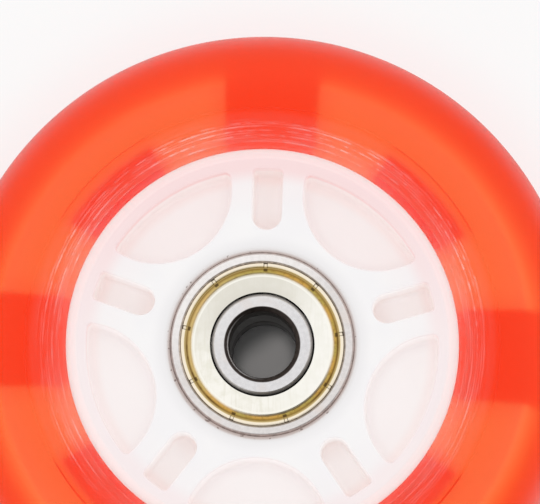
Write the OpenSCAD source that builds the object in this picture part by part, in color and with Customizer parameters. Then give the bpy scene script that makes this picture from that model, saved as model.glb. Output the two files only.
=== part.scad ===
// Inline skate wheel: a clear urethane tyre cast round a white nylon core, which carries
// a shielded ball bearing in each face with a spacer between them.
// The wheel lies on its side: the spin axis is Z, the origin is the wheel's centre, and the
// front face looks towards +Z. Sizes are in millimetres, angles in degrees.

/* [Wheel] */
// Diameter over the tread
wheel_d = 76; // [72:0.5:80]
// Width over the two hub faces
hub_w = 24.2; // [23.4:0.1:26]
// Diameter at which the core's rim meets the tyre
rim_d = 47; // [46.4:0.1:48]

/* [Tyre] */
// Width over the tyre's flat shoulders
shoulder_w = 23.4; // [22.8:0.1:23.8]
// Radius of the round tread, seen in section
tread_r = 12; // [11.9:0.05:13]
// Radial width of the sloped lip round the rim
lip_w = 0.6; // [0.3:0.1:1.2]
// Height of the sloped lip above the rim's edge
lip_rise = 0.8; // [0.4:0.1:1]
// Bond line between the tyre and the core
bond_gap = 0.02; // [0.01:0.01:0.05]

/* [Core] */
// Radial width of the bevel round the rim
rim_bevel = 1.3; // [0.8:0.1:1.8]
// Radial thickness of the rim between the pockets and the tyre
rim_wall = 2.3; // [2:0.1:3]
// Thickness of the closed web under the pockets
web_t = 8; // [6:0.5:10]
// Number of double spokes
spoke_count = 5; // [3:1:5]
// Angle of the first spoke
spoke_angle = 88; // [0:1:90]
// Radius of the bowed inner edge of a pocket
pocket_bow_r = 8.8; // [7.5:0.1:9.2]
// Least wall between a pocket and the bearing seat
pocket_wall = 2.55; // [2:0.05:3.5]
// Width of the slot in a spoke
slot_w = 3.7; // [3:0.1:4.2]
// Least wall between a slot and the bearing seat
slot_wall = 2.65; // [2:0.05:4]
// Chamfer at the mouth of a bearing seat
seat_chamfer = 0.4; // [0.2:0.1:0.8]
// Width of the shoulder that a bearing is pressed against
seat_shoulder = 1.2; // [1:0.05:1.25]

/* [Anchor wings] */
// Diameter over the wings that stand inside the tyre
wing_d = 62.8; // [58:0.2:66]
// Thickness of the wings
wing_t = 8; // [6:0.5:10]
// Radial height of the low ridge that joins the wings round the rim
wing_root = 0.3; // [0.2:0.1:0.6]
// Number of wings, with an open gap between neighbours and a window in each
wing_count = 4; // [3:1:4]
// Width of the open gap between two wings
gap_w = 11; // [8:0.5:13]
// Angle that a window spans
window_a = 27.5; // [20:0.5:32]
// Radial height of a window
window_h = 3.8; // [2.5:0.1:5]

/* [Bearing] */
// Outer diameter of a bearing
bearing_d = 22; // [21.6:0.1:22.4]
// Bore of a bearing
bore_d = 8; // [7.6:0.1:8.2]
// Width of a bearing
bearing_w = 7; // [6.8:0.1:7.4]
// How far a bearing lies below the hub face
bearing_inset = 0.1; // [0.05:0.05:0.3]
// Clearance between a bearing and its seat, on the radius
seat_clear = 0.02; // [0.01:0.01:0.05]
// Diameter of the circle through the balls' centres
pitch_d = 15; // [14.9:0.05:15.1]
// Diameter of a ball
ball_d = 3.969; // [3.8:0.001:4]
// Number of balls
ball_count = 7; // [6:1:7]
// Clearance between a ball and each raceway
ball_play = 0.02; // [0.01:0.01:0.05]
// Radius of a raceway groove, in ball radii
groove_ratio = 1.03; // [1.02:0.01:1.06]
// Outer diameter of the inner ring
inner_land_d = 12.1; // [11.9:0.1:12.3]
// Inner diameter of the outer ring, between its shields
outer_land_d = 18; // [17.8:0.1:18.4]
// Chamfer round the outside of the outer ring
ring_chamfer = 0.3; // [0.2:0.05:0.5]
// Chamfer at the ends of the bore
bore_chamfer = 0.5; // [0.3:0.05:0.7]
// Chamfer round the outside of the inner ring
land_chamfer = 0.15; // [0.1:0.05:0.3]

/* [Shield] */
// Diameter of the recess that a shield is crimped into
shield_seat_d = 19.4; // [19.2:0.1:19.6]
// Depth of that recess
shield_seat_h = 1.2; // [1.1:0.05:1.25]
// Thickness of the shield's sheet
shield_t = 0.25; // [0.2:0.05:0.3]
// Depth of the shield's flat below the ring face
shield_drop = 0.35; // [0.25:0.05:0.45]
// Depth of the shield's crimped rim below the ring face
crimp_drop = 0.4; // [0.25:0.05:0.6]
// Radial width of the crimped rim
crimp_w = 0.4; // [0.3:0.05:0.5]
// Radial width of the groove inside the crimped rim
crimp_groove_w = 0.8; // [0.6:0.05:0.9]
// Radial width of the slope between the groove and the flat
shield_slope = 0.2; // [0.1:0.05:0.3]
// Running gap between a shield and the inner ring
shield_gap = 0.18; // [0.1:0.02:0.3]
// Clearance between a shield and its recess
shield_clear = 0.02; // [0.01:0.01:0.05]
// Number of notches in the crimped rim
notch_count = 9; // [6:1:12]
// Width of a notch
notch_w = 0.3; // [0.2:0.05:0.5]
// Angle of the first notch
notch_angle = 7.5; // [0:0.5:40]

/* [Cage] */
// Thickness of the cage's sheet
cage_t = 0.3; // [0.2:0.05:0.35]
// Radial width of the cage
cage_w = 1.5; // [1.3:0.1:1.8]
// Clearance between a ball and its cage pocket
cage_play = 0.06; // [0.04:0.01:0.1]
// Diameter of a rivet's shank
rivet_d = 0.7; // [0.5:0.05:0.8]
// Diameter of a rivet's head
rivet_head_d = 1.2; // [0.9:0.05:1.3]
// Height of a rivet's head
rivet_head_h = 0.25; // [0.15:0.05:0.35]
// Clearance between a rivet and its holes
rivet_clear = 0.02; // [0.01:0.01:0.04]

/* [Spacer] */
// Outer diameter of the spacer
spacer_d = 11; // [10:0.1:11.6]
// Clearance of the spacer's bore outside the bearings' bore, on the radius
spacer_clear = 0.01; // [0:0.01:0.03]

/* [Hidden] */
$fn = 96;
// How far a cutting solid runs past the face it cuts
past = 1;

wheel_r = wheel_d / 2;
rim_r = rim_d / 2;
hub_z = hub_w / 2;
shoulder_z = shoulder_w / 2;
rim_z = shoulder_z - lip_rise;
tyre_in_r = rim_r + bond_gap;
tread_centre_r = wheel_r - tread_r;

bearing_r = bearing_d / 2;
bearing_half = bearing_w / 2;
bearing_z = hub_z - bearing_inset - bearing_half;
seat_r = bearing_r + seat_clear;
seat_z = bearing_z - bearing_half;
through_r = bearing_r - seat_shoulder;

web_z = web_t / 2;
pocket_out_r = rim_r - rim_wall;
pocket_centre_r = seat_r + pocket_wall + pocket_bow_r;
slot_end_r = slot_w / 2;
slot_in_r = seat_r + slot_wall + slot_end_r;
spoke_pitch = 360 / spoke_count;

wing_r = wing_d / 2;
wing_in_r = rim_r - rim_wall / 2;
window_in_r = rim_r + wing_root;
wing_pitch = 360 / wing_count;

bore_r = bore_d / 2;
ball_r = ball_d / 2;
pitch_r = pitch_d / 2;
groove_r = ball_r * groove_ratio;
groove_shift = groove_r - ball_r - ball_play;
inner_land_r = inner_land_d / 2;
outer_land_r = outer_land_d / 2;
ball_pitch = 360 / ball_count;

shield_seat_r = shield_seat_d / 2;
shield_rim_r = shield_seat_r - shield_clear;
crimp_in_r = shield_rim_r - crimp_w;
groove_in_r = crimp_in_r - crimp_groove_w;
shield_flat_r = groove_in_r - shield_slope;
shield_in_r = inner_land_r + shield_gap;
shield_flat_z = bearing_half - shield_drop;
crimp_z = bearing_half - crimp_drop;
shield_floor_z = bearing_half - shield_seat_h;
shield_groove_z = shield_floor_z + shield_t;

cage_in_r = pitch_r - cage_w / 2;
cage_out_r = pitch_r + cage_w / 2;
cage_pocket_r = ball_r + cage_play;
cage_bulge_r = cage_pocket_r + cage_t;
rivet_r = rivet_d / 2;

SIDES = ["front", "rear"];
RING_PIECES = [
    "outer_ring",
    "inner_ring",
    "outside_shield",
    "inside_shield",
    "cage_outside_half",
    "cage_inside_half",
    "cage_rivets"
];

steel = [0.80, 0.80, 0.81];
shield_yellow = [0.90, 0.85, 0.66];

// A section's upper half, followed by the same points mirrored below the middle plane.
function both_halves(half) =
    concat(half, [for (i = [len(half) - 1 : -1 : 0]) [half[i].x, -half[i].y]]);

// A flat ring centred on the middle plane.
module ring(in_r, out_r, h) {
    difference() {
        cylinder(r = out_r, h = h, center = true);
        cylinder(r = in_r, h = h + 2 * past, center = true);
    }
}

// Tyre section: a round tread, cut flat at the shoulders and sloped at the lip.
module tyre_section() {
    difference() {
        intersection() {
            translate([tyre_in_r, -shoulder_z])
                square([wheel_r - tyre_in_r + past, shoulder_w]);
            union() {
                translate([tread_centre_r, 0])
                    circle(r = tread_r);
                translate([tyre_in_r - past, -tread_r - past])
                    square([tread_centre_r - tyre_in_r + past, 2 * (tread_r + past)]);
            }
        }
        for (way = [-1, 1])
            polygon([
                [tyre_in_r - past, way * rim_z],
                [tyre_in_r, way * rim_z],
                [tyre_in_r + lip_w, way * shoulder_z],
                [tyre_in_r + lip_w, way * (shoulder_z + past)],
                [tyre_in_r - past, way * (shoulder_z + past)]
            ]);
    }
}

// The wings that hold the tyre, each with a window; grow enlarges them for the tyre's cavity.
module anchor_wings(grow) {
    cut_h = wing_t + 2 * (grow + past);
    cut_in_r = window_in_r + grow;
    window_half = window_a / 2 - grow / cut_in_r * 180 / PI;
    difference() {
        ring(wing_in_r, wing_r + grow, wing_t + 2 * grow);
        for (k = [0 : wing_count - 1])
            rotate(spoke_angle + k * wing_pitch) {
                difference() {
                    translate([0, grow - gap_w / 2, -cut_h / 2])
                        cube([wing_r + past, gap_w - 2 * grow, cut_h]);
                    cylinder(r = cut_in_r, h = cut_h + 2 * past, center = true);
                }
                rotate(wing_pitch / 2 - window_half)
                    rotate_extrude(angle = 2 * window_half)
                        translate([cut_in_r, -cut_h / 2])
                            square([window_h - 2 * grow, cut_h]);
            }
    }
}

module tyre() {
    color([0.98, 0.32, 0.18])
        difference() {
            rotate_extrude()
                tyre_section();
            anchor_wings(bond_gap);
        }
}

// Outline of a pocket between two spokes: a bow towards the bearing, closed by the rim's arc.
module pocket_outline() {
    intersection() {
        circle(r = pocket_out_r);
        translate([pocket_centre_r, 0])
            circle(r = pocket_bow_r);
    }
}

// Outline of the slot in a spoke: round towards the bearing, closed by the rim's arc.
module slot_outline() {
    intersection() {
        circle(r = pocket_out_r);
        union() {
            translate([slot_in_r, 0])
                circle(r = slot_end_r);
            translate([slot_in_r, -slot_end_r])
                square([pocket_out_r, slot_w]);
        }
    }
}

// Core section without the wings: bearing seats, shoulder, faces and bevelled rim.
module core_section() {
    polygon(both_halves([
        [through_r, seat_z],
        [seat_r, seat_z],
        [seat_r, hub_z - seat_chamfer],
        [seat_r + seat_chamfer, hub_z],
        [rim_r - rim_bevel, hub_z],
        [rim_r, rim_z]
    ]));
}

module hub_core() {
    color([0.96, 0.95, 0.95]) {
        difference() {
            rotate_extrude()
                core_section();
            for (flip = [0, 180], k = [0 : spoke_count - 1])
                rotate([flip, 0, 0])
                    rotate((flip == 0 ? 1 : -1) * (spoke_angle + k * spoke_pitch))
                        translate([0, 0, web_z])
                            linear_extrude(hub_z - web_z + past) {
                                slot_outline();
                                rotate(spoke_pitch / 2)
                                    pocket_outline();
                            }
        }
        anchor_wings(0);
    }
}

module axle_spacer() {
    color([0.72, 0.73, 0.75])
        ring(bore_r + spacer_clear, spacer_d / 2, 2 * seat_z);
}

// Puts a bearing piece, drawn about its own middle with its outside up, into its seat.
module in_seat(side) {
    rotate([side == "rear" ? 180 : 0, 0, 0])
        translate([0, 0, bearing_z])
            children();
}

module outer_ring(side) {
    color(steel)
        in_seat(side)
            rotate_extrude()
                difference() {
                    polygon(both_halves([
                        [outer_land_r, shield_floor_z],
                        [shield_seat_r, shield_floor_z],
                        [shield_seat_r, bearing_half],
                        [bearing_r - ring_chamfer, bearing_half],
                        [bearing_r, bearing_half - ring_chamfer]
                    ]));
                    translate([pitch_r - groove_shift, 0])
                        circle(r = groove_r);
                }
}

module inner_ring(side) {
    color(steel)
        in_seat(side)
            rotate_extrude()
                difference() {
                    polygon(both_halves([
                        [bore_r, bearing_half - bore_chamfer],
                        [bore_r + bore_chamfer, bearing_half],
                        [inner_land_r - land_chamfer, bearing_half],
                        [inner_land_r, bearing_half - land_chamfer]
                    ]));
                    translate([pitch_r + groove_shift, 0])
                        circle(r = groove_r);
                }
}

// Pressed sheet: a flat round the inner ring, a slope, a groove and a notched, crimped rim.
module shield(side, turned) {
    color(shield_yellow)
        in_seat(side)
            rotate([turned, 0, 0])
                difference() {
                    rotate_extrude()
                        polygon([
                            [shield_in_r, shield_flat_z],
                            [shield_flat_r, shield_flat_z],
                            [groove_in_r, shield_groove_z],
                            [crimp_in_r, shield_groove_z],
                            [crimp_in_r, crimp_z],
                            [shield_rim_r, crimp_z],
                            [shield_rim_r, shield_floor_z],
                            [groove_in_r - shield_t, shield_floor_z],
                            [shield_flat_r - shield_t, shield_flat_z - shield_t],
                            [shield_in_r, shield_flat_z - shield_t]
                        ]);
                    for (k = [0 : notch_count - 1])
                        rotate(notch_angle + k * 360 / notch_count)
                            translate([crimp_in_r - shield_t, -notch_w / 2, shield_groove_z])
                                cube([crimp_w + shield_t + past, notch_w, shield_seat_h]);
                }
}

// Half of a pressed cage: a flat band that bulges over each ball, with holes for the rivets.
module cage_half(side, turned) {
    color([0.74, 0.74, 0.72])
        in_seat(side)
            rotate([turned, 0, 0])
                difference() {
                    intersection() {
                        union() {
                            cylinder(r = pitch_r + cage_w, h = cage_t);
                            for (k = [1 : ball_count])
                                rotate(k * ball_pitch)
                                    translate([pitch_r, 0, 0])
                                        sphere(r = cage_bulge_r);
                        }
                        translate([0, 0, cage_bulge_r])
                            ring(cage_in_r, cage_out_r, 2 * cage_bulge_r);
                    }
                    for (k = [1 : ball_count]) {
                        rotate(k * ball_pitch)
                            translate([pitch_r, 0, 0])
                                sphere(r = cage_pocket_r);
                        rotate((k + 0.5) * ball_pitch)
                            translate([pitch_r, 0, -past])
                                cylinder(r = rivet_r + rivet_clear, h = cage_t + 2 * past);
                    }
                }
}

module cage_rivets(side) {
    color([0.70, 0.70, 0.69])
        in_seat(side)
            for (k = [1 : ball_count])
                rotate((k + 0.5) * ball_pitch)
                    translate([pitch_r, 0, 0]) {
                        cylinder(r = rivet_r, h = 2 * (cage_t + rivet_head_h), center = true);
                        for (flip = [0, 180])
                            rotate([flip, 0, 0])
                                translate([0, 0, cage_t])
                                    cylinder(d = rivet_head_d, h = rivet_head_h);
                    }
}

module ball(side, k) {
    color([0.86, 0.86, 0.87])
        in_seat(side)
            rotate(k * ball_pitch)
                translate([pitch_r, 0, 0])
                    sphere(r = ball_r);
}

tyre();
hub_core();
axle_spacer();
for (side = SIDES) {
    outer_ring(side);
    inner_ring(side);
    shield(side, 0);
    shield(side, 180);
    cage_half(side, 0);
    cage_half(side, 180);
    cage_rivets(side);
    for (k = [1 : ball_count])
        ball(side, k);
}
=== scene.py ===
import math

import bmesh
import bpy
import numpy as np
from mathutils import Matrix, Vector
from mathutils.geometry import tessellate_polygon


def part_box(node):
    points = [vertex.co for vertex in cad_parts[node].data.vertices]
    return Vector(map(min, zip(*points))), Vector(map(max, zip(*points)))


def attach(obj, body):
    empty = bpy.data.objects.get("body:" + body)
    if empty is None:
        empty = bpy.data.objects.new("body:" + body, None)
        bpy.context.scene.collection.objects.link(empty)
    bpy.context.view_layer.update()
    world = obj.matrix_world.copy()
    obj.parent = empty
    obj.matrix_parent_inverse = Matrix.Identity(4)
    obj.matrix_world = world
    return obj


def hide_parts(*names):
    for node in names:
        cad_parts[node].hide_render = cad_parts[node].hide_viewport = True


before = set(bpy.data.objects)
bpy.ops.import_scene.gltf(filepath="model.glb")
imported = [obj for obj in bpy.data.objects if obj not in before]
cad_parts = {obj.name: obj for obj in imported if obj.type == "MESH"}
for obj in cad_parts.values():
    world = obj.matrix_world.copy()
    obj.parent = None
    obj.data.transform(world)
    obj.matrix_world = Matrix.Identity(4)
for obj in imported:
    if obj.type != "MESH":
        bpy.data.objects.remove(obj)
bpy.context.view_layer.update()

# Hub core: one white nylon moulding. Both faces have five double spokes with a blind slot in each
# and five bowed blind pockets between them. It carries a bearing in each face, and its wings,
# with a window in each, stand inside the tyre that is cast round it.
MM = 0.001

hub_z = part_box("hub_core")[1].z / MM
wing_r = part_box("hub_core")[1].x / MM
bearing_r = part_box("front_outer_ring")[1].x / MM
seat_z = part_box("front_outer_ring")[0].z / MM
seat_clear = 0.02
seat_chamfer = 0.4
seat_flat = 0.3
shoulder_hole_r = 9.8
rim_r = 23.5
rim_z = 10.9
bevel_r = rim_r - 1.3
rim_flat = 0.6
recess_start_r = 12.5
pocket_rim_r = 21.05
pocket_bow_r = 8.85
pocket_centre_r = 22.37
pocket_corner = 0.65
pocket_middle_r = 17.6
pocket_fillet = 0.6
slot_in_r = 15.52
slot_half = 1.78
slot_corner = 0.5
slot_middle_r = 18.0
slot_fillet = 0.5
web_z = 4.0
floor_depth = hub_z - web_z
spoke_angle = math.radians(88)
spoke_count = 5
wing_z = 4.0
wing_count = 4
gap_half = 5.5
ridge_r = 23.8
window_r = 27.6
window_half = math.radians(13.75)
wing_cells = (6, 8, 12, 8, 6)
window_rings = 4
outer_rings = 5
pink_r = 14.5
rim_pink_r = 19.0


def rounded(corners, radius, steps=5, hold=0.06, closed=False):
    """Outline with round corners: each corner becomes an arc that leaves and joins its two edges
    without a kink, with a point on either edge just outside the arc to keep the edge flat."""
    corners = np.array(corners, float)
    radius = np.broadcast_to(np.array(radius, float), len(corners))[:, None]
    back = np.roll(corners, 1, 0) - corners
    ahead = np.roll(corners, -1, 0) - corners
    back /= np.linalg.norm(back, axis=1)[:, None]
    ahead /= np.linalg.norm(ahead, axis=1)[:, None]
    half = np.arccos(np.clip((back * ahead).sum(1), -1, 1))[:, None] / 2
    middle = back + ahead
    middle /= np.linalg.norm(middle, axis=1)[:, None]
    centre = corners + middle * radius / np.sin(half)
    reach = radius / np.tan(half)
    first = corners + back * reach
    last = corners + ahead * reach
    turn = math.pi - 2 * half
    share = np.linspace(0, 1, steps)[None]
    start_part = np.sin((1 - share) * turn) / np.sin(turn)
    end_part = np.sin(share * turn) / np.sin(turn)
    arcs = (
        centre[:, None]
        + start_part[..., None] * (first - centre)[:, None]
        + end_part[..., None] * (last - centre)[:, None]
    )
    held = np.concatenate(
        [(first + back * hold)[:, None], arcs, (last + ahead * hold)[:, None]], axis=1
    )
    if closed:
        return held.reshape(-1, 2)
    return np.concatenate([corners[:1], held[1:-1].reshape(-1, 2), corners[-1:]])


def lathe(section, angles):
    """Surface of revolution: every point (radius, height) of a section, carried to every angle."""
    radius, height = np.array(section, float).T
    return np.stack(
        [
            np.outer(np.cos(angles), radius),
            np.outer(np.sin(angles), radius),
            np.broadcast_to(height, (len(angles), len(height))),
        ],
        axis=-1,
    )


def quads(grid, wrap_rows=False, wrap_columns=False):
    """Points and faces of a grid: each face joins four neighbours, and a wrapped side is closed."""
    rows, columns = grid.shape[:2]
    row = np.arange(rows if wrap_rows else rows - 1)[:, None]
    column = np.arange(columns if wrap_columns else columns - 1)[None]
    next_row = (row + 1) % rows
    next_column = (column + 1) % columns
    faces = np.stack(
        [
            row * columns + column,
            next_row * columns + column,
            next_row * columns + next_column,
            row * columns + next_column,
        ],
        axis=-1,
    )
    return grid.reshape(-1, 3), faces.reshape(-1, 4).tolist()


def make_piece(name, patches, material, sharp=math.radians(40)):
    """One closed mesh from patches of points and faces in millimetres: patches are sewn together
    where their points meet, and the faces are turned outwards."""
    points = []
    faces = []
    count = 0
    for patch_points, patch_faces in patches:
        points.append(patch_points)
        faces.extend([[count + i for i in face] for face in patch_faces])
        count += len(patch_points)
    mesh = bpy.data.meshes.new(name)
    mesh.from_pydata((np.concatenate(points) * MM).tolist(), [], faces)
    sewn = bmesh.new()
    sewn.from_mesh(mesh)
    bmesh.ops.remove_doubles(sewn, verts=sewn.verts, dist=0.0005 * MM)
    bmesh.ops.dissolve_degenerate(sewn, edges=sewn.edges, dist=0.0002 * MM)
    bmesh.ops.recalc_face_normals(sewn, faces=sewn.faces)
    sewn.to_mesh(mesh)
    sewn.free()
    mesh.shade_smooth()
    mesh.set_sharp_from_angle(angle=sharp)
    mesh.materials.append(material)
    piece = bpy.data.objects.new(name, mesh)
    bpy.context.scene.collection.objects.link(piece)
    return piece


def turned(grid, angle):
    """The same points, turned about the wheel's axis."""
    spin = np.array(Matrix.Rotation(angle, 3, "Z"))
    return grid @ spin.T


def other_side(patch):
    """The same patch below the wheel's middle plane."""
    points, faces = patch
    return points * np.array([1, 1, -1]), faces


def wing_angles(radius, grow=0.0, fine=1):
    """Angles round the wheel for one radius: each quarter turn goes from the middle of an open gap
    to its straight edge, to the window's two sides, to the next gap's edge and middle."""
    quarter = 2 * math.pi / wing_count
    edge = np.arcsin((gap_half - grow) / radius)
    near = quarter / 2 - window_half + grow / radius
    marks = np.stack(
        [0 * edge, edge, near + 0 * edge, quarter - near + 0 * edge, quarter - edge]
    )
    marks = np.concatenate([marks, 0 * marks[:1] + quarter])
    cells = np.concatenate(
        [np.arange(n * fine) / (n * fine) + i for i, n in enumerate(wing_cells)]
    )
    low = cells.astype(int)
    share = (cells - low)[:, None]
    one = marks[low] * (1 - share) + marks[low + 1] * share
    turns = np.arange(wing_count)[:, None, None] * quarter
    return spoke_angle + (one[None] + turns).reshape(-1, one.shape[1])


def wing_shell(grow=0.0, fine=1):
    """Skin of the wings outside the low ridge that joins them: a polar grid of cells, solid or
    open, with a face above and below each solid cell and a wall wherever solid meets open."""
    cut_r = window_r - grow
    radii = np.concatenate(
        [
            np.linspace(ridge_r + grow, cut_r, window_rings + 1),
            np.linspace(cut_r, wing_r + grow, outer_rings + 1)[1:],
        ]
    )
    angles = wing_angles(radii, grow, fine)
    flat = np.stack(
        [radii * np.cos(angles), radii * np.sin(angles), 0 * angles], axis=-1
    )
    lift = np.array([0, 0, wing_z + grow])
    count, rings = angles.shape
    points = np.concatenate([(flat + lift).reshape(-1, 3), (flat - lift).reshape(-1, 3)])
    below = count * rings
    last = len(wing_cells) - 1
    part = np.tile(np.repeat(np.arange(last + 1), np.array(wing_cells) * fine), wing_count)
    solid = np.broadcast_to(((part > 0) & (part < last))[:, None], (count, rings - 1)).copy()
    solid[part == last // 2, :window_rings] = False
    row, column = np.nonzero(solid)
    next_row = (row + 1) % count
    top = np.stack(
        [
            row * rings + column,
            row * rings + column + 1,
            next_row * rings + column + 1,
            next_row * rings + column,
        ],
        axis=-1,
    )
    faces = [top, top[:, ::-1] + below]
    row, column = np.nonzero(solid != np.roll(solid, 1, axis=0))
    side = np.stack([row * rings + column, row * rings + column + 1], axis=-1)
    faces.append(np.concatenate([side, side[:, ::-1] + below], axis=-1))
    padded = np.pad(solid, ((0, 0), (1, 1)), constant_values=((0, 0), (True, False)))
    row, column = np.nonzero(padded[:, :-1] != padded[:, 1:])
    next_row = (row + 1) % count
    side = np.stack([row * rings + column, next_row * rings + column], axis=-1)
    faces.append(np.concatenate([side, side[:, ::-1] + below], axis=-1))
    return points, np.concatenate(faces).tolist()


def arcs_joined(arcs):
    """One outline for each row: arcs given as (centre x, centre y, radius, first and last angle,
    number of points), laid end to end."""
    laid = []
    for x, y, radius, first, last, count in arcs:
        angle = first + (last - first) * np.linspace(0, 1, count)[None]
        laid.append(np.stack([x + radius * np.cos(angle), y + radius * np.sin(angle)], axis=-1))
    return np.concatenate(laid, axis=1)


def pocket_loop(inset):
    """Pocket outline, one for each inset: where the disc inside the rim's arc and the disc of the
    bow overlap, both made smaller by the inset, with round corners."""
    inset = np.array(inset, float)[:, None]
    rim = pocket_rim_r - inset
    bow = pocket_bow_r - inset
    corner = np.maximum(pocket_corner - inset, 0.15)
    x = ((rim - corner) ** 2 - (bow - corner) ** 2 + pocket_centre_r**2) / (2 * pocket_centre_r)
    y = np.sqrt((rim - corner) ** 2 - x**2)
    on_rim = np.arctan2(y, x)
    on_bow = np.arctan2(y, x - pocket_centre_r)
    whole = 2 * math.pi
    return arcs_joined(
        [
            (0, 0, rim, -on_rim, on_rim, 28),
            (x, y, corner, on_rim, on_bow, 9),
            (pocket_centre_r, 0, bow, on_bow, whole - on_bow, 48),
            (x, -y, corner, whole - on_bow, whole - on_rim, 9),
        ]
    )


def slot_loop(inset):
    """Slot outline, one for each inset: a half round towards the bearing, two straight sides and
    the rim's arc, all drawn in by the inset, with round corners at the rim."""
    inset = np.array(inset, float)[:, None]
    rim = pocket_rim_r - inset
    half = slot_half - inset
    corner = np.maximum(slot_corner - inset, 0.12)
    y = half - corner
    x = np.sqrt((rim - corner) ** 2 - y**2)
    on_rim = np.arctan2(y, x)
    quarter = math.pi / 2 + 0 * inset
    return arcs_joined(
        [
            (0, 0, rim, -on_rim, on_rim, 8),
            (x, y, corner, on_rim, quarter, 7),
            (slot_in_r, 0, half, quarter, 3 * quarter, 28),
            (x, -y, corner, 3 * quarter, 4 * quarter - on_rim, 7),
        ]
    )


def recess(loop, centre_r, fillet, lip=0.3, draft=math.radians(0.8), band=0.1):
    """Wall and floor of a blind recess: from a flat band on the face over a round lip, down a
    drafted wall and through a fillet to the floor, which closes in rings on one point."""
    over = np.linspace(0, math.pi / 2 - draft, 6)
    under = np.linspace(draft, math.pi / 2, 9)
    wall_top_z = hub_z - lip + lip * math.sin(draft)
    wall_low_z = web_z + fillet - fillet * math.sin(draft)
    wall_inset = (wall_top_z - wall_low_z) * math.tan(draft)
    inset = np.concatenate(
        [
            [-lip - band],
            lip * (np.sin(over) - 1),
            wall_inset + fillet * (math.cos(draft) - np.cos(under)),
        ]
    )
    height = np.concatenate(
        [
            [hub_z],
            hub_z - lip + lip * np.cos(over),
            web_z + fillet - fillet * np.sin(under),
        ]
    )
    loops = loop(inset)
    centre = np.array([centre_r, 0.0])
    share = np.array([0.98, 0.7, 0.4, 0.0])[:, None, None]
    floor = centre + (loops[-1] - centre) * share
    flat = np.concatenate([loops, floor])
    heights = np.concatenate([height, np.full(len(share), web_z)])
    heights = np.broadcast_to(heights[:, None, None], (*flat.shape[:2], 1))
    return np.concatenate([flat, heights], axis=-1)


def pierced_face(loops, height):
    """Flat face between closed loops: the first loop is its edge, the others are holes in it."""
    flat = [np.pad(loop, ((0, 0), (0, 1)), constant_values=height) for loop in loops]
    faces = tessellate_polygon([[Vector(point) for point in loop] for loop in flat])
    return np.concatenate(flat), [list(face) for face in faces]


class Wire:
    """A socket among a material's nodes. Sums written with wires add Math nodes, and node() adds
    any other kind of node."""

    def __init__(self, tree, socket=None):
        self.tree = tree
        self.socket = socket

    def node(self, kind, settings=None, sockets=None, out=0):
        """Adds a node, applies its settings, sets or links its sockets, and gives one output."""
        made = self.tree.nodes.new("ShaderNode" + kind)
        for name, value in (settings or {}).items():
            setattr(made, name, value)
        for name, value in (sockets or {}).items():
            socket = made.inputs[name]
            if isinstance(value, Wire):
                self.tree.links.new(value.socket, socket)
            elif socket.type == "RGBA":
                socket.default_value = (*value[:3], 1)
            else:
                socket.default_value = value
        return Wire(self.tree, made.outputs[out]) if made.outputs else None

    def math(self, operation, *values):
        """Adds one Math node."""
        return self.node("Math", {"operation": operation}, dict(enumerate(values)))

    def __add__(self, other):
        return self.math("ADD", self, other)

    __radd__ = __add__

    def __mul__(self, other):
        return self.math("MULTIPLY", self, other)

    __rmul__ = __mul__

    def __sub__(self, other):
        return self.math("SUBTRACT", self, other)

    def __rsub__(self, other):
        return self.math("SUBTRACT", other, self)

    def __truediv__(self, other):
        return self.math("DIVIDE", self, other)

    def rise(self, low, high):
        """A mask that goes smoothly from 0 to 1 as this value goes from low to high."""
        sockets = {"Value": self, "From Min": low, "From Max": high}
        return self.node("MapRange", {"interpolation_type": "SMOOTHSTEP"}, sockets)

    def band(self, low, high, soft):
        """A mask that is 1 while this value lies between low and high, with soft edges."""
        return self.rise(low - soft, low + soft) - self.rise(high - soft, high + soft)

    def mix(self, first, second):
        """Goes from the first colour to the second as this mask goes from 0 to 1."""
        return self.node("Mix", {"data_type": "RGBA"}, {0: self, 6: first, 7: second}, 2)


def colour(red, green, blue):
    """A colour as light, from its values on the screen's scale of 0 to 255."""
    value = np.array([red, green, blue]) / 255
    light = np.where(value <= 0.04045, value / 12.92, ((value + 0.055) / 1.055) ** 2.4)
    return tuple(light.tolist())


def new_material(name):
    """An empty material and the wires of its place on the piece: the point in millimetres, the
    distance from the wheel's axis, the angle round it and the height over the middle plane."""
    material = bpy.data.materials.new(name)
    material.use_nodes = True
    material.node_tree.nodes.clear()
    tree = Wire(material.node_tree)
    point = tree.node("TexCoord", out=3)
    point = tree.node("VectorMath", {"operation": "SCALE"}, {0: point, "Scale": 1 / MM})
    parts = {axis: tree.node("SeparateXYZ", None, {0: point}, axis) for axis in range(3)}
    flat = tree.node("CombineXYZ", None, {0: parts[0], 1: parts[1]})
    radius = tree.node("VectorMath", {"operation": "LENGTH"}, {0: flat}, 1)
    angle = tree.math("ARCTAN2", parts[1], parts[0])
    return material, tree, point, radius, angle, parts[2]


def finish_material(tree, sockets, bump=None, bump_strength=0.1, bump_depth=0.02, volume=None):
    """Ends a material: a Principled shader, with a bump and an inside if it has them."""
    if bump is not None:
        sizes = {"Strength": bump_strength, "Distance": bump_depth * MM, "Height": bump}
        sockets = {**sockets, "Normal": tree.node("Bump", None, sizes)}
    ends = {"Surface": tree.node("BsdfPrincipled", None, sockets)}
    if volume is not None:
        ends["Volume"] = volume
    tree.node("OutputMaterial", None, ends)


def noise(place, scale, detail):
    """Soft marks that change at random over a piece: the scale is how many come to a millimetre,
    and more detail adds finer ones."""
    return place.node("TexNoise", None, {"Vector": place, "Scale": scale, "Detail": detail})


def facing(angle, degrees, low, high):
    """A mask for the side of the wheel that faces a way, given in degrees: it rises as the cosine
    of the angle from that way goes from low to high."""
    return angle.math("COSINE", angle - math.radians(degrees)).rise(low, high)


def from_nearest(angle, first, count):
    """Angle from the nearest of several like places that lie evenly round the wheel."""
    pitch = 2 * math.pi / count
    turn = (angle - first) / pitch
    return (turn - angle.math("ROUND", turn)) * pitch


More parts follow.
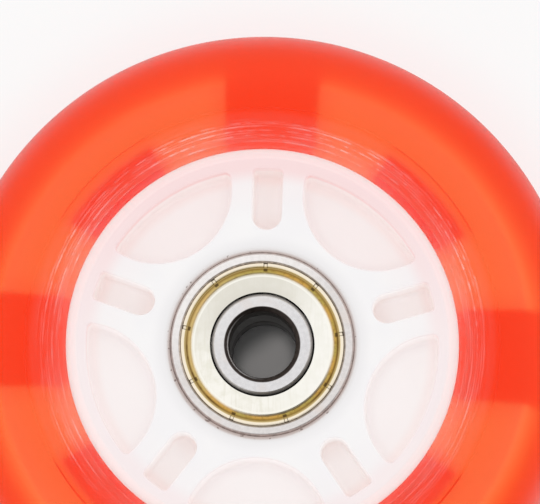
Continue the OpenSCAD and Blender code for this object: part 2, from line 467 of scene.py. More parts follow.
def nylon_face(radius, angle, cloud, upper):
    """Colour of the core's flat faces: greyer round the bearing, with painted grey-brown shade in
    the seat's mouth, wider on the lower side, and painted pink light from the tyre towards the
    rim, most on the upper side."""
    face = cloud.rise(0.35, 0.7).mix(colour(241, 239, 240), colour(243, 241, 241))
    near_seat = 1 - radius.rise(bearing_r + 0.4, bearing_r + 2.4)
    face = (near_seat * 0.8).mix(face, colour(231, 229, 230))
    # Painted grey-brown shade in the seat's mouth, beside the bearing.
    seat_shade = 1 - radius.rise(bearing_r + 0.2, bearing_r + 0.9)
    face = (seat_shade * 0.4).mix(face, colour(208, 201, 197))
    # Painted brown shade at the seat's edge, wider on the lower side.
    below = facing(angle, 250, 0.0, 1.0)
    painted_edge_shading = 1 - (radius - below * 0.16).rise(bearing_r + 0.05, bearing_r + 0.4)
    face = painted_edge_shading.mix(face, colour(196, 182, 177))
    # Painted pink light from the tyre towards the rim, most on the upper side.
    faint_pink = radius.rise(pink_r, pink_r + 5.0) * 0.2
    pink = faint_pink + radius.rise(rim_pink_r, pocket_rim_r + 0.2) * 0.8
    return (pink * (0.42 + upper * 0.58)).mix(face, colour(244, 217, 217))


def nylon_recess(radius, angle, depth, cloud, upper):
    """Colour inside the pockets and slots: painted almost white, as light that passes through their
    walls, with painted faint shade at the foot of the walls, at the slots' round ends and along
    the bowed lip, and painted pink light from the tyre on the wall beside it."""
    inside = cloud.rise(0.35, 0.7).mix(colour(254.2, 254.8, 254.8), colour(254.3, 254.9, 254.9))
    from_pocket = from_nearest(angle, spoke_angle + math.pi / spoke_count, spoke_count)
    along = radius * angle.math("COSINE", from_pocket) - pocket_centre_r
    aside = radius * angle.math("SINE", from_pocket)
    from_bow = angle.math("SQRT", along * along + aside * aside)
    in_slot = from_bow.rise(pocket_bow_r + 0.5, pocket_bow_r + 0.9)
    bow_side = from_bow.rise(pocket_bow_r - 1.8, pocket_bow_r - 0.1) * (1 - in_slot)
    # Painted shade at the foot of the pocket's bowed wall.
    bow_foot = bow_side * depth.rise(floor_depth - 2.6, floor_depth - 0.3)
    inside = (bow_foot * 0.5).mix(inside, colour(246, 243, 243))
    # Painted shade along the lip of the bowed wall.
    bow_lip = from_bow.rise(pocket_bow_r - 0.4, pocket_bow_r - 0.2) * (1 - depth.rise(0.8, 2.0))
    inside = (bow_lip * (1 - in_slot)).mix(inside, colour(243, 238, 238))
    inside = in_slot.mix(inside, colour(254.6, 254.8, 254.7))
    from_spoke = from_nearest(angle, spoke_angle, spoke_count)
    past_end = angle.math("MINIMUM", radius * angle.math("COSINE", from_spoke) - slot_in_r, 0.0)
    sideways = radius * angle.math("SINE", from_spoke)
    to_wall = slot_half - angle.math("SQRT", past_end * past_end + sideways * sideways)
    # Painted shade at the foot of the slot's walls.
    slot_foot = (1 - to_wall.rise(0.0, 0.6)) * depth.rise(floor_depth - 1.3, floor_depth - 0.2)
    inside = (slot_foot * in_slot * 0.3).mix(inside, colour(243, 234, 232))
    # Painted shade towards the slot's round end.
    slot_end = 1 - radius.rise(slot_in_r - slot_half, slot_in_r + 1.5)
    slot_end = slot_end * depth.rise(floor_depth - 3.1, floor_depth - 0.6)
    inside = (slot_end * in_slot * 0.35).mix(inside, colour(243, 232, 229))
    # Painted pink light from the tyre on the wall beside the rim, more on the upper side.
    rim_side = radius.rise(pocket_rim_r - 1.85, pocket_rim_r - 0.45) * (0.72 + upper * 0.2)
    inside = rim_side.mix(inside, colour(253.4, 245.0, 243.5))
    # Painted deeper pink light from the tyre near the top of that wall.
    rim_lip = radius.rise(pocket_rim_r - 0.65, pocket_rim_r - 0.15) * (1 - depth.rise(1.5, 4.0))
    rim_lip = rim_lip * (0.4 + upper * 0.6) * (1 - in_slot * 0.5)
    return rim_lip.mix(inside, colour(247, 216, 215))


def nylon_wing(radius, angle):
    """Colour of the wings inside the tyre: painted pink light from the tyre, paler near the rim,
    with painted redder shade beside the open gaps and the windows, and almost white on their outer
    edge."""
    from_gap = from_nearest(angle, spoke_angle, wing_count)
    across = angle.math("ABSOLUTE", radius * angle.math("SINE", from_gap))
    # Painted pink light from the tyre, deeper towards the outer edge.
    wing = radius.rise(rim_r, wing_r).mix(colour(255, 246, 246), colour(255, 214, 214))
    # Painted redder shade beside the open gaps.
    wing_end = 1 - across.rise(gap_half - 0.3, gap_half + 3.0)
    wing = (wing_end * 0.5).mix(wing, colour(255, 176, 176))
    from_window = math.pi / wing_count - angle.math("ABSOLUTE", from_gap)
    window_side = window_half * window_r
    # Painted redder shade beside the windows.
    beside = 1 - (from_window * radius).rise(window_side - 0.3, window_side + 1.6)
    beyond = 1 - radius.rise(window_r - 0.2, window_r + 1.6)
    wing = (beside * beyond * 0.7).mix(wing, colour(255, 176, 176))
    return radius.rise(wing_r - 0.06, wing_r - 0.01).mix(wing, colour(255, 252, 252))


def nylon():
    """White moulded nylon. Light passes through it, so its hollows are painted brighter, and it is
    painted pink towards the rim as light from the tyre. Round the bearing it has painted
    grey-brown shade, with a few burr specks."""
    material, tree, point, radius, angle, height = new_material("white nylon")
    cloud = noise(point, 0.22, 2.0)
    grain = noise(point, 3.5, 4.0)
    upper = facing(angle, 90, -0.2, 1.0)
    depth = hub_z - tree.math("ABSOLUTE", height)
    recesses = radius.band(recess_start_r, pocket_rim_r + 0.4, 0.1)
    hollow = depth.rise(0.3, 1.2) * recesses
    face = nylon_face(radius, angle, cloud, upper)
    face = hollow.mix(face, nylon_recess(radius, angle, depth, cloud, upper))
    # Painted pink light from the tyre on the bevel, more on the upper side.
    bevel = upper.mix(colour(250, 240, 239), colour(249, 232, 232))
    face = radius.rise(bevel_r - 0.1, bevel_r + 0.25).mix(face, bevel)
    # Painted highlight: the outer part of the bevel near white.
    face = radius.rise(bevel_r + 0.4, rim_r - 0.2).mix(face, colour(255, 251, 250))
    face = radius.rise(rim_r - 0.05, rim_r + 0.05).mix(face, nylon_wing(radius, angle))
    burr = noise(point, 1.6, 1.0) + facing(angle, 215, -0.6, 0.9) * 0.06
    burr = burr.rise(0.69, 0.74) * radius.band(bearing_r + 0.08, bearing_r + 0.36, 0.08)
    face = (burr * 0.8).mix(face, colour(110, 88, 80))
    rough = 0.42 + grain * 0.12 + depth.rise(0.0, 0.08) * recesses * 0.45
    sockets = {"Base Color": face, "Roughness": rough, "IOR": 1.45}
    finish_material(tree, sockets, grain, 0.15, 0.02)
    return material


def both_ways(half):
    """A section's upper half, followed by its mirror image below the middle."""
    return half + [[radius, -z] for radius, z in half[::-1]]


seat_r = bearing_r + seat_clear
core_angles = wing_angles(np.array([ridge_r]))[:, 0]
seat_half = [
    [seat_r + seat_chamfer + seat_flat, hub_z],
    [seat_r + seat_chamfer, hub_z],
    [seat_r, hub_z - seat_chamfer],
    [seat_r, seat_z],
    [shoulder_hole_r, seat_z],
]
seat_round = [0.1, 0.1, 0.1, 0.1, 0.15]
seat_section = rounded(both_ways(seat_half), seat_round + seat_round[::-1])
rim_section = rounded(
    [
        [bevel_r - rim_flat, hub_z],
        [bevel_r, hub_z],
        [rim_r, rim_z],
        [rim_r, wing_z],
        [ridge_r, wing_z],
    ],
    [0.1, 0.45, 0.25, 0.1, 0.1],
)
slot = recess(slot_loop, slot_middle_r, slot_fillet)
pocket = recess(pocket_loop, pocket_middle_r, pocket_fillet)
recess_list = []
for number in range(spoke_count):
    middle = spoke_angle + number * 2 * math.pi / spoke_count
    recess_list.append(turned(slot, middle))
    recess_list.append(turned(pocket, middle + math.pi / spoke_count))
face_loops = [
    lathe(rim_section[:1], core_angles)[:, 0, :2],
    lathe(seat_section[:1], core_angles)[:, 0, :2],
]
face_loops += [grid[0, :, :2] for grid in recess_list]
half_core = [quads(lathe(rim_section, core_angles), wrap_rows=True)]
half_core += [quads(grid, wrap_columns=True) for grid in recess_list]
half_core.append(pierced_face(face_loops, hub_z))
core_patches = half_core + [other_side(patch) for patch in half_core]
core_patches.append(quads(lathe(seat_section, core_angles), wrap_rows=True))
core_patches.append(wing_shell())
hub_core = make_piece("hub_core_moulding", core_patches, nylon())
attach(hub_core, "wheel")
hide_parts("hub_core")


# Tyre: clear red-orange urethane, poured round the core in a mould and turned on its flat
# shoulders, which keeps fine rings there. The wings of the core show through it.
wheel_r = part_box("tyre")[1].x / MM
shoulder_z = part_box("tyre")[1].z / MM
tread_r = 12.0
lip_r = rim_r + 0.02
lip_w = 0.8
bond_sink = 0.05
edge_w = 0.2
edge_drop = 0.15
edge_fade = 0.8
ring_marks = np.array([24.35, 25.08, 25.68, 26.2, 26.58])
ring_shine = (1.0, 0.9, 0.8, 1.0, 0.55)
ring_toward = (140, 105, 60, 90, 80)
ring_turns = (14.0, 24.0, 24.0, 12.0, 14.0)
line_half = 0.09
fine_gap = 0.27
ring_half = 0.16
ring_depth = 0.015
tread_centre_r = wheel_r - tread_r
crease_r = 28.3


def shoulder_height(radius):
    """Height of the turned shoulder: flat, less a few fine round-bottomed rings near the core."""
    rings = ring_depth * np.exp(-(((radius[:, None] - ring_marks) / ring_half) ** 2))
    return shoulder_z - rings.sum(1)


def tread_height(radius):
    """Height of the round tread, less what the shoulder's turned edge cuts away, which dies out."""
    first = crease_r + edge_w
    full = math.sqrt(tread_r**2 - (first - tread_centre_r) ** 2)
    drop = (full - shoulder_z + edge_drop) * np.exp(-(radius - first) / edge_fade)
    return np.sqrt(np.maximum(tread_r**2 - (radius - tread_centre_r) ** 2, 0)) - drop


def ring_noise(tree, angle, turns, across, detail=2.0):
    """Noise that runs round the wheel with no seam: it reads the angle as a place on a circle, with
    more marks to a turn on a larger one, and it changes from ring to ring with the value across."""
    circle = [tree.math(way, angle) * turns for way in ("COSINE", "SINE")]
    place = tree.node("CombineXYZ", None, {0: circle[0], 1: circle[1], 2: across})
    return noise(place, 1.0, detail)


def ring_glints(tree, radius, angle):
    """Pale lines where the turned rings catch the light: each is broken by noise of its own, and
    strongest on the side that it shines towards."""
    line = 0.0
    for mark, shine, way, turns in zip(ring_marks, ring_shine, ring_toward, ring_turns):
        broken = ring_noise(tree, angle, turns, mark * 7.0, 3.0).rise(0.44, 0.6)
        caught = facing(angle, way, -0.1, 0.8)
        glint = (0.1 + broken * 0.9) * (0.3 + caught * 0.7) * shine
        line = line + radius.band(mark - line_half, mark + line_half, line_half) * glint
    return line


def fine_lines(tree, radius, angle):
    """Finer lines of the turning tool, a set step apart, each broken by noise of its own."""
    turn = (radius - rim_r) / fine_gap
    number = tree.math("ROUND", turn)
    off_line = tree.math("ABSOLUTE", turn - number) * fine_gap
    broken = ring_noise(tree, angle, 3.0, number * 2.3).rise(0.42, 0.66)
    return broken * (1 - off_line.rise(0.04, 0.12))


def urethane():
    """Clear cast urethane with a matt skin: its colour comes from the depth that light passes.
    Its turned shoulders are a little hazy, and the rings catch the light in broken pale lines."""
    material, tree, point, radius, angle, _ = new_material("clear urethane")
    specks = noise(point, 1.1, 3.0)
    shoulder = 1 - radius.rise(crease_r - 0.7, crease_r - 0.1)
    ring_zone = radius.band(rim_r + 0.6, ring_marks[-1] + 0.4, 0.8)
    lip = radius.band(rim_r - 0.1, rim_r + 0.35, 0.15)
    edge = radius.rise(wheel_r - 2.4, wheel_r - 0.4)
    over_wing = tree.math("COSINE", (angle - spoke_angle) * (2.0 * wing_count)) * -0.5 + 0.5
    line = ring_glints(tree, radius, angle) * (0.34 + over_wing * 0.66)
    fine_line = fine_lines(tree, radius, angle) * ring_zone * 0.3
    near_core = (1 - radius.rise(rim_r + 0.2, ring_marks[-1] + 0.2)) * (0.13 + over_wing * 0.2)
    veil = 0.02 + shoulder * 0.055 + near_core + lip * 0.2 + edge * 0.11 + line + fine_line
    sockets = {
        "Base Color": (1.0, 1.0, 1.0),
        "Roughness": 0.4 + specks.rise(0.5, 0.8) * 0.05,
        "IOR": 1.36,
        "Specular Tint": (1.0, 0.6, 0.4),
        "Transmission Weight": 1.0,
        "Coat Weight": veil,
        "Coat Roughness": 0.3,
        "Coat IOR": 3.2,
    }
    inside = tree.node("VolumeAbsorption", None, {"Color": (1.0, 0.5, 0.05), "Density": 185.0})
    finish_material(tree, sockets, specks, 0.05, 0.02, inside)
    return material


tyre_fine = 2
tyre_angles = wing_angles(np.array([ridge_r - bond_sink]), -bond_sink, tyre_fine)[:, 0]
ring_radii = np.linspace(rim_r + lip_w + 0.1, ring_marks[-1] + 2.5 * ring_half, 60)
plain_radii = np.linspace(ring_radii[-1], crease_r - 0.08, 5)[1:]
shoulder_radii = np.concatenate([ring_radii, plain_radii])
edge_z = shoulder_z - edge_drop
edge_angle = math.acos((crease_r + edge_w - tread_centre_r) / tread_r)
tread_angles = edge_angle * (1 - np.linspace(0.01, 1, 44) ** 1.2)
tread_radii = tread_centre_r + tread_r * np.cos(tread_angles)
half_section = np.concatenate(
    [
        [[rim_r - bond_sink, wing_z - bond_sink]],
        rounded(
            [
                [rim_r - bond_sink, rim_z - 0.1],
                [lip_r, rim_z],
                [lip_r + lip_w, shoulder_z],
                [shoulder_radii[0], shoulder_z],
            ],
            [0.02, 0.02, 0.05, 0.02],
        )[:-1],
        np.stack([shoulder_radii, shoulder_height(shoulder_radii)], axis=-1),
        [[crease_r - 0.03, shoulder_z - 0.002], [crease_r + 0.02, shoulder_z - 0.015]],
        [[crease_r + edge_w - 0.04, edge_z + 0.02], [crease_r + edge_w, edge_z]],
        np.stack([tread_radii, tread_height(tread_radii)], axis=-1),
    ]
)
tyre_section = np.concatenate([half_section, half_section[-2::-1] * np.array([1, -1])])
ridge_section = np.array([[ridge_r, wing_z], [rim_r, wing_z]]) - bond_sink
tyre_patches = [
    quads(lathe(tyre_section, tyre_angles), wrap_rows=True),
    quads(lathe(ridge_section, tyre_angles), wrap_rows=True),
    quads(lathe(ridge_section * np.array([1, -1]), tyre_angles), wrap_rows=True),
    wing_shell(-bond_sink, tyre_fine),
]
tyre = make_piece("tyre_casting", tyre_patches, urethane())
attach(tyre, "wheel")
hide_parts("tyre")


# Bearing rings: an outer ring pressed into each seat of the core and an inner ring on the axle,
# of hardened steel, turned with a raceway groove each and ground bright on their faces.
SIDES = ("front", "rear")
bearing_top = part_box("front_outer_ring")[1].z / MM
bearing_half = (bearing_top - seat_z) / 2
bearing_z = (bearing_top + seat_z) / 2
land_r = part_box("front_inner_ring")[1].x / MM
bore_r = 4.0
bore_chamfer = 0.5
land_chamfer = 0.35
ring_chamfer = 0.3
recess_r = 9.78
recess_mouth = 0.2
recess_z = bearing_half - 1.2
outer_land_r = 9.0
pitch_r = 7.5
raceway_r = 2.044
raceway_shift = 0.04
round_angles = np.linspace(0, 2 * math.pi, 192, endpoint=False)


def seated(side, patch):
    """A bearing piece, drawn about its own middle with its outside up, put into its seat."""
    points, faces = patch
    points = points + np.array([0, 0, bearing_z])
    if side == "rear":
        points = points * np.array([1, -1, -1])
    return points, faces


def raceway(centre_r, land, way):
    """Arc of a raceway groove in section, from the land's upper edge to its lower edge: a circle
    round the balls' centre line, cut off at the land's radius."""
    last = math.acos((land - centre_r) / raceway_r * way)
    angle = np.linspace(last, -last, 13)
    radius = centre_r + way * raceway_r * np.cos(angle)
    return np.stack([radius, raceway_r * np.sin(angle)], axis=-1)


def ground_steel(name, tone, paler_tone, shading_masks):
    """Ground bearing steel: fine rings from the grinding wheel, faint clouds, painted paler on one
    side as its lit side, a little warmer where the coolant dried, and the painted shade and light
    that its masks give. The bore is painted darker towards the rear, as shade deep in it."""
    material, tree, point, radius, angle, height = new_material(name)
    lines = ring_noise(tree, angle, 3.0, radius * 18.0 + height * 4.0, 3.0)
    grain = noise(point, 2.0, 3.0)
    stain = noise(point, 0.35, 3.0)
    bright = np.array(tone)
    paler = np.array(paler_tone)
    warmer = bright * [0.99, 0.965, 0.945]
    clouded = grain.rise(0.35, 0.68)
    base = clouded.mix(colour(*(0.96 * bright)), colour(*bright))
    pale_face = clouded.mix(colour(*(0.97 * paler)), colour(*paler))
    # Painted light: paler on the side facing 118 degrees.
    base = facing(angle, 118, 0.1, 0.8).mix(base, pale_face)
    base = (stain.rise(0.5, 0.75) * 0.8).mix(base, colour(*warmer))
    rough = 0.26 + lines.rise(0.3, 0.7) * 0.12
    # Each mask paints shade, or a lit side or highlight, over the steel, and roughens it.
    for scale, shading_tone in shading_masks(radius, angle):
        dark = np.array(shading_tone)
        shading_colour = grain.rise(0.3, 0.7).mix(colour(*(0.9 * dark)), colour(*(1.1 * dark)))
        base = scale.mix(base, shading_colour)
        rough = rough + scale * 0.2
    # Painted shade deep in the bore: darker in the rear bearing's bore.
    rear = 1 - height.rise(-bearing_top, 0.0)
    bore_shade = rear * (1 - radius.rise(bore_r + 0.02, bore_r + 0.06))
    base = bore_shade.mix(base, colour(*(0.6 * bright)))
    sockets = {"Base Color": base, "Roughness": rough, "Metallic": 1.0}
    finish_material(tree, sockets, lines, 0.12, 0.01)
    return material


def outer_ring_shading(radius, angle):
    """Painted brown shade in the groove at the chamfer round the outside and in the mouth of the
    shield's recess, with one side of each paler, as its lit side, where the outside's is narrower."""
    # Painted light: the side where the outside's shade is narrower and paler.
    outer_lit_side = facing(angle, 75, -0.3, 0.7)
    # Painted shade in the groove between the ring's outer chamfer and the seat.
    outside = (radius - outer_lit_side * 0.08).rise(bearing_r - 0.28, bearing_r)
    # Painted shade in the mouth of the shield's recess, beside the curl.
    mouth = 1 - radius.rise(recess_r + 0.12, recess_r + recess_mouth + 0.06)
    # Painted light: the mouth's shade is paler on one side.
    thin = facing(angle, 135, 0.0, 0.8) * mouth
    return [
        (outside, (196, 181, 176)),
        (outside * outer_lit_side * 0.6, (224, 211, 206)),
        (mouth * 0.9, (140, 128, 116)),
        (thin * 0.85, (216, 204, 194)),
    ]


def inner_ring_shading(radius, angle):
    """Painted dark shade in the bore and on its chamfer, which mirrors the dark bore, and in the
    gap beside the shield. On one side of the bore's chamfer a thin painted highlight is left."""
    # Painted shade in the bore, and dark reflection on its chamfer.
    bore = 1 - radius.rise(bore_r + bore_chamfer, bore_r + bore_chamfer + 0.12)
    # Painted highlight: a thin lighter line on one side of the bore's chamfer.
    painted_edge_shading = facing(angle, 195, 0.1, 0.9) * radius.band(bore_r + 0.08, bore_r + 0.2, 0.04)
    # Painted shade in the gap beside the shield.
    edge = radius.rise(land_r - land_chamfer - 0.05, land_r - 0.05) * 0.8
    return [(bore * (1 - painted_edge_shading * 0.6) + edge, (72, 64, 60))]


outer_steel = ground_steel("outer ring steel", (232, 227, 225), (247, 243, 241), outer_ring_shading)
inner_steel = ground_steel("inner ring steel", (229, 227, 228), (232, 230, 230), inner_ring_shading)
outer_half = [
    [outer_land_r, recess_z],
    [recess_r, recess_z],
    [recess_r, bearing_half - recess_mouth],
    [recess_r + recess_mouth, bearing_half],
    [bearing_r - ring_chamfer, bearing_half],
    [bearing_r, bearing_half - ring_chamfer],
]
outer_round = [0.05, 0.05, 0.06, 0.06, 0.12, 0.12]
inner_half = [
    [land_r, bearing_half - land_chamfer],
    [land_r - land_chamfer, bearing_half],
    [bore_r + bore_chamfer, bearing_half],
    [bore_r, bearing_half - bore_chamfer],
]
inner_round = [0.06, 0.06, 0.12, 0.1]
ring_kinds = {
    "outer_ring": (
        outer_half,
        outer_round,
        raceway(pitch_r - raceway_shift, outer_land_r, 1),
        outer_steel,
        "wheel",
    ),
    "inner_ring": (
        inner_half,
        inner_round,
        raceway(pitch_r + raceway_shift, land_r, -1),
        inner_steel,
        "axle_set",
    ),
}
for kind, (half, radii, groove, steel, body) in ring_kinds.items():
    around = rounded(both_ways(half), radii + radii[::-1], closed=True)
    section = np.concatenate([around, groove[::-1]])
    for side in SIDES:
        patch = seated(side, quads(lathe(section, round_angles), True, True))
        ring = make_piece(f"{side}_{kind}_ground", [patch], steel)
        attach(ring, body)
        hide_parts(f"{side}_{kind}")


# Shields: pressed sheet with a thin yellow passivated coat, one on each side of a bearing. The
# rim of each is curled, crimped into the outer ring's recess and nicked at nine places.
sheet = 0.25
shield_in_r = land_r + 0.18
flat_r = 8.36
slope_r = 8.66
curl_in_r = 9.22
curl_r = 9.75
flat_z = bearing_half - 0.35
groove_z = flat_z - 0.2
curl_z = bearing_half - 0.15
curl_foot = 0.03
curl_rise_w = 0.22
curl_fall_w = 0.18
curl_drop = 0.07
notch_count = 9
notch_half = 0.15
notch_angle = math.radians(7.5)
shade_in_r = 6.4
shade_out_r = 7.4
stain_places = (205, 340)


def shield_grid():
    """Sheet section carried round the axis, with the curled rim pressed down where it is nicked:
    the angles are close together at both edges of each nick."""
    section = rounded(
        [
            [shield_in_r, flat_z],
            [flat_r, flat_z],
            [slope_r, groove_z],
            [curl_in_r, groove_z],
            [curl_in_r + curl_foot, curl_z - curl_drop],
            [curl_in_r + curl_rise_w, curl_z],
            [curl_r - curl_fall_w, curl_z],
            [curl_r, curl_z - curl_drop],
            [curl_r, recess_z],
            [slope_r - sheet, recess_z],
            [flat_r - sheet, flat_z - sheet],
            [shield_in_r, flat_z - sheet],
        ],
        [0.05, 0.15, 0.12, 0.03, 0.04, 0.12, 0.12, 0.1, 0.05, 0.12, 0.12, 0.05],
        steps=6,
        hold=0.01,
        closed=True,
    )
    nicks = notch_angle + np.arange(notch_count) * 2 * math.pi / notch_count
    edge = notch_half / curl_in_r
    offsets = np.array([-1.15, -1.0, -0.4, 0.4, 1.0, 1.15]) * edge
    between = np.linspace(1.3 * edge, 2 * math.pi / notch_count - 1.3 * edge, 18)
    one_pitch = np.concatenate([offsets, between])
    grid = lathe(section, (nicks[:, None] + one_pitch[None]).ravel())
    nicked = np.tile(np.abs(one_pitch) < 1.05 * edge, notch_count)
    curl = (section[:, 0] > curl_in_r - 0.02) & (section[:, 1] > groove_z)
    pressed = nicked[:, None] & curl[None]
    grid[..., 2] = np.where(pressed, groove_z + 0.35 * (grid[..., 2] - groove_z), grid[..., 2])
    return grid


def coat_on_flat(radius, outward, cloud, blot, roll):
    """Colour of the shield's flat: pale, with faint clouds and lines from the roll, painted shade
    on one side and painted light on another, and a painted highlight where it bends into the
    groove."""
    flat = cloud.rise(0.35, 0.65).mix(colour(248, 245, 235), colour(254, 251, 243))
    flat = (blot.rise(0.42, 0.66) * 0.8).mix(flat, colour(240, 237, 224))
    flat = (roll.rise(0.45, 0.7) * 0.5).mix(flat, colour(234, 230, 216))
    # Painted shade on one side, deeper towards the inner edge.
    shaded = facing(outward, 105, -0.1, 1.0) * (0.9 - radius.rise(shade_in_r, shade_out_r) * 0.2)
    flat = shaded.mix(flat, colour(225, 221, 210))
    # Painted light on another side.
    lit = facing(outward, 345, 0.1, 1.0)
    flat = (lit * 0.6).mix(flat, colour(255, 253, 247))
    # Painted highlight where the flat bends into the groove.
    edge_highlight = radius.band(flat_r - 0.26, flat_r - 0.08, 0.06)
    return (edge_highlight * 0.9).mix(flat, colour(255, 252, 242))


def coat_in_groove(radius, outward, cloud, blot, fine):
    """Colour of the groove, where the film is thicker: gold clouds and brown specks, painted paler
    on one side as its lit side, darker towards the curl, with two brown stains."""
    gold = cloud.rise(0.4, 0.6).mix(colour(184, 164, 88), colour(208, 164, 84))
    gold = (fine.rise(0.48, 0.7) * 0.55).mix(gold, colour(150, 112, 46))
    # Painted light: the groove paler on one side.
    left = facing(outward, 168, 0.3, 1.0)
    gold = (left * 0.7).mix(gold, colour(224, 194, 134))
    gold = (radius.rise(slope_r + 0.1, curl_in_r - 0.15) * 0.85).mix(gold, colour(140, 108, 52))
    for place in stain_places:
        stain = facing(outward, place, 0.75, 0.97)
        stain = stain * radius.band(slope_r + 0.25, curl_in_r - 0.02, 0.1)
        gold = (stain * (0.35 + blot.rise(0.4, 0.6) * 0.4)).mix(gold, colour(84, 54, 18))
    return gold


def passivated_sheet():
    """Zinc-coated sheet with a thin yellow chromate film: pale on the flat, gold and brown in the
    groove, bright on the curl, with fine lines from the roll and painted shade in the nicks."""
    material, tree, point, radius, angle, height = new_material("yellow passivated sheet")
    across = tree.node("Mapping", None, {"Vector": point, "Scale": (2.6, 0.22, 1.0)})
    roll = noise(across, 1.3, 3.0)
    cloud = noise(point, 0.3, 2.0)
    blot = noise(point, 0.9, 4.0)
    outward = angle * tree.math("SIGN", height)
    flat = coat_on_flat(radius, outward, cloud, blot, roll)
    gold = coat_in_groove(radius, outward, cloud, blot, noise(point, 3.0, 3.0))
    base = radius.rise(flat_r - 0.08, slope_r + 0.06).mix(flat, gold)
    base = radius.rise(curl_in_r - 0.2, curl_in_r + 0.05).mix(base, colour(204, 182, 126))
    base = radius.rise(curl_in_r + 0.05, curl_in_r + 0.2).mix(base, colour(250, 238, 216))
    off_nick = tree.math("ABSOLUTE", from_nearest(outward, notch_angle, notch_count)) * radius
    # Painted shade in the slits at the edges of each nick.
    slit = off_nick.band(notch_half * 1.1, notch_half * 1.6, 0.05)
    slit = slit * radius.rise(curl_in_r - 0.1, curl_in_r + 0.05)
    base = (slit * 0.95).mix(base, colour(88, 74, 60))
    # Painted shade where each nick presses the curl down into the groove.
    nick = 1 - off_nick.rise(notch_half * 1.2, notch_half * 2.0)
    ends = radius.band(slope_r + 0.1, curl_in_r - 0.12, 0.08)
    ends = ends + radius.rise(curl_r - 0.18, curl_r - 0.06)
    base = (nick * ends * 0.9).mix(base, colour(84, 64, 36))
    rough = 0.24 + roll * 0.16
    sockets = {"Base Color": base, "Roughness": rough, "Metallic": 1.0}
    finish_material(tree, sockets, roll, 0.08, 0.01)
    return material


coated_sheet = passivated_sheet()
for side in SIDES:
    patch = seated(side, quads(shield_grid(), True, True))
    shield = make_piece(f"{side}_outside_shield_pressing", [patch], coated_sheet)
    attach(shield, "wheel")
    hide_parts(f"{side}_outside_shield")


def dress(node, material):
    """Gives a carried-over piece its finish."""
    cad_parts[node].data.materials.clear()
    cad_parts[node].data.materials.append(material)


for side in SIDES:
    dress(f"{side}_inside_shield", coated_sheet)


# Balls and cages: seven polished balls to a bearing, kept apart by a pressed steel cage in two
# halves that are riveted together between the balls, all with a film of oil.
ball_count = 7


def polished_balls():
    """Polished bearing steel, with the faint cloud of oil on it."""
    material, tree, point, *_ = new_material("polished ball steel")
    film = noise(point, 0.9, 2.0)
    base = film.rise(0.3, 0.7).mix(colour(214, 214, 217), colour(232, 232, 234))
    sockets = {"Base Color": base, "Roughness": 0.06 + film * 0.05, "Metallic": 1.0}
    finish_material(tree, sockets)
    return material


def pressed_cage():
    """Cold-pressed strip: dull, with streaks from the tool and a brownish film of oil."""
    material, tree, _, radius, angle, height = new_material("pressed cage steel")
    streak = ring_noise(tree, angle, 9.0, radius * 6.0 + height * 1.5, 3.0)
    base = streak.rise(0.3, 0.7).mix(colour(176, 172, 164), colour(206, 204, 200))
    sockets = {"Base Color": base, "Roughness": 0.3 + streak * 0.2, "Metallic": 1.0}
    finish_material(tree, sockets, streak, 0.1, 0.01)
    return material


ball_steel = polished_balls()
cage_steel = pressed_cage()
for side in SIDES:
    for number in range(1, ball_count + 1):
        dress(f"{side}_ball_{number}", ball_steel)
    for part in ("cage_outside_half", "cage_inside_half", "cage_rivets"):
        dress(f"{side}_{part}", cage_steel)


# Axle spacer: an aluminium tube, turned to length, that stands between the two inner rings. The
# axle clamps it there, so that the bearings aren't pressed askew.
bore_shade_reach = 6.0


def turned_aluminium():
    """Turned aluminium: rings left by the tool along the tube, and painted shade inside it, darker
    towards the front.
    """
    material, tree, _, radius, angle, height = new_material("turned aluminium")
    rings = ring_noise(tree, angle, 0.9, height * 9.0)
    base = rings.rise(0.3, 0.7).mix(colour(176, 177, 180), colour(204, 205, 208))
    # Painted shade inside the tube, darker towards the front.
    inside = 1 - radius.rise(bore_r + 0.2, bore_r + 0.4)
    bore_shade = (1 - height.rise(-bore_shade_reach, bore_shade_reach)).mix(colour(60, 58, 56), colour(96, 93, 91))
    base = inside.mix(base, (rings.rise(0.3, 0.7) * 0.5).mix(bore_shade, colour(84, 82, 80)))
    sockets = {"Base Color": base, "Roughness": 0.32 + rings * 0.15, "Metallic": 1.0}
    finish_material(tree, sockets, rings, 0.2, 0.02)
    return material


dress("axle_spacer", turned_aluminium())


# Floor and light: a plain white table in a white tent, whose light is a little stronger from the
# sides than from above. A dark card, below and right of the picture, shows only as a mirror image.
hub_reach = 14.0
table_glow = 0.85
bore_glow = 0.126
bore_dark_way = (-0.75, 1, 0)
floor_half = 2000.0
side_light = 1.25
overhead_drop = 0.29
card_way = (0.42, -0.91, 0)
card_dark = 0.9


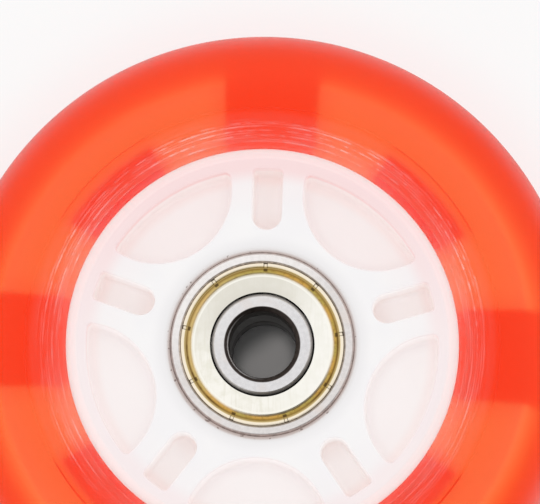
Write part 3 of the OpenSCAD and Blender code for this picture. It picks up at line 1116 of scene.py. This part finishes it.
def table_top():
    """Plain white table that the camera, metal and clear urethane see as white, with the wheel's
    tinted shadow and red light through the tyre painted into its glow. Under the hub it hardly
    glows, so the bore is dark, with the faint glow painted darker on one side and near the wall."""
    material, tree, point, radius, *_ = new_material("white table")
    straight = tree.node("LightPath", out="Is Camera Ray")
    mirrored = tree.node("LightPath", out="Is Glossy Ray")
    through = tree.node("LightPath", out="Is Transmission Ray")
    direct = tree.math("MAXIMUM", straight, tree.math("MAXIMUM", mirrored, through))
    # Painted shade in the bore: its faint glow fades on one side and near the wall.
    behind = tree.node("VectorMath", {"operation": "DOT_PRODUCT"}, {0: point, 1: bore_dark_way}, 1)
    behind = behind.rise(0.2, bore_r + 0.4)
    outside = radius.rise(hub_reach, hub_reach + 8.0)
    near_wall = radius.rise(bore_r - 1.8, bore_r + 0.2) * 0.85
    in_bore = (1 - outside) * (1 - behind) * (1 - near_wall) * bore_glow
    glow = direct * (outside * table_glow + in_bore)
    plain = tree.node("BsdfDiffuse", None, {"Color": colour(249, 249, 249)})
    # Painted red light from the tyre under it for rays through the urethane, and a paler painted
    # tinted shadow for the camera.
    outer_band = radius.rise(wheel_r - 9.0, wheel_r - 4.5)
    seen_through = outer_band.mix(colour(243, 146, 124), colour(255, 146, 116))
    beneath = through.mix(colour(250, 214, 203), seen_through)
    tint = radius.rise(hub_reach, hub_reach + 4.0).mix(colour(245, 240, 237), beneath)
    rim_low = through * 6.0 + (wheel_r - 8.0)
    tint = radius.rise(rim_low, wheel_r + 0.5).mix(tint, colour(252, 244, 244))
    tint = radius.rise(wheel_r - 0.5, wheel_r + 9.0).mix(tint, colour(251, 251, 251))
    strength = 1.1 - radius.rise(wheel_r - 1.5, wheel_r - 0.5) * (1 - through) * 0.1
    strength = strength + through * radius.rise(wheel_r - 8.0, wheel_r - 4.0) * 0.06
    white = tree.node("Emission", None, {"Color": tint, "Strength": strength})
    surface = tree.node("MixShader", None, {0: glow, 1: plain, 2: white})
    tree.node("OutputMaterial", None, {"Surface": surface})
    return material


floor_mesh = bpy.data.meshes.new("table")
floor_corners = np.array([[-1, -1, 0], [1, -1, 0], [1, 1, 0], [-1, 1, 0]]) * floor_half * MM
floor_corners[:, 2] = -hub_z * MM
floor_mesh.from_pydata(floor_corners.tolist(), [], [[0, 1, 2, 3]])
floor_mesh.materials.append(table_top())
floor = bpy.data.objects.new("table", floor_mesh)
bpy.context.scene.collection.objects.link(floor)

world = bpy.data.worlds.new("studio tent")
world.use_nodes = True
world.node_tree.nodes.clear()
sky = Wire(world.node_tree)
way = sky.node("TexCoord", out=0)
up = sky.node("SeparateXYZ", None, {0: way}, 2)
card = sky.node("VectorMath", {"operation": "DOT_PRODUCT"}, {0: way, 1: card_way}, 1)
mirrored = sky.node("LightPath", out="Is Glossy Ray")
mirrored = mirrored - sky.node("LightPath", out="Is Transmission Ray")
card = card.rise(0.45, 0.8) * mirrored.rise(0.2, 0.8)
strength = (side_light - up.rise(0.0, 1.0) * overhead_drop) * (1 - card * card_dark)
tent = sky.node("Background", None, {"Color": (1, 1, 1), "Strength": strength})
sky.node("OutputWorld", None, {"Surface": tent})
bpy.context.scene.world = world
bpy.context.scene.cycles.blur_glossy = 0.0
bpy.context.scene.cycles.max_bounces = 48
bpy.context.scene.cycles.diffuse_bounces = 40
bpy.context.scene.cycles.transmission_bounces = 24

# Camera: a long lens almost straight above the front face, a little below and right of its axis.
# The picture's middle lies above the bearing, so the wheel's lower part is cut off.
lens_px = 10475.0
picture_w = 540
sensor_mm = 36.0
camera_far = 1250.0
camera_way = Vector((0.0184, -0.0805, 1.0)).normalized()
aim = Vector((0.94, 11.03, hub_z)) * MM
camera_data = bpy.data.cameras.new("camera")
camera_data.sensor_width = sensor_mm
camera_data.lens = lens_px * sensor_mm / picture_w
camera = bpy.data.objects.new("camera", camera_data)
right = Vector((0, 1, 0)).cross(camera_way).normalized()
upward = camera_way.cross(right)
turn = Matrix((right, upward, camera_way)).transposed().to_4x4()
camera.matrix_world = Matrix.Translation(aim + camera_way * camera_far * MM) @ turn
bpy.context.scene.collection.objects.link(camera)
bpy.context.scene.camera = camera
bpy.context.scene.view_settings.view_transform = "Standard"
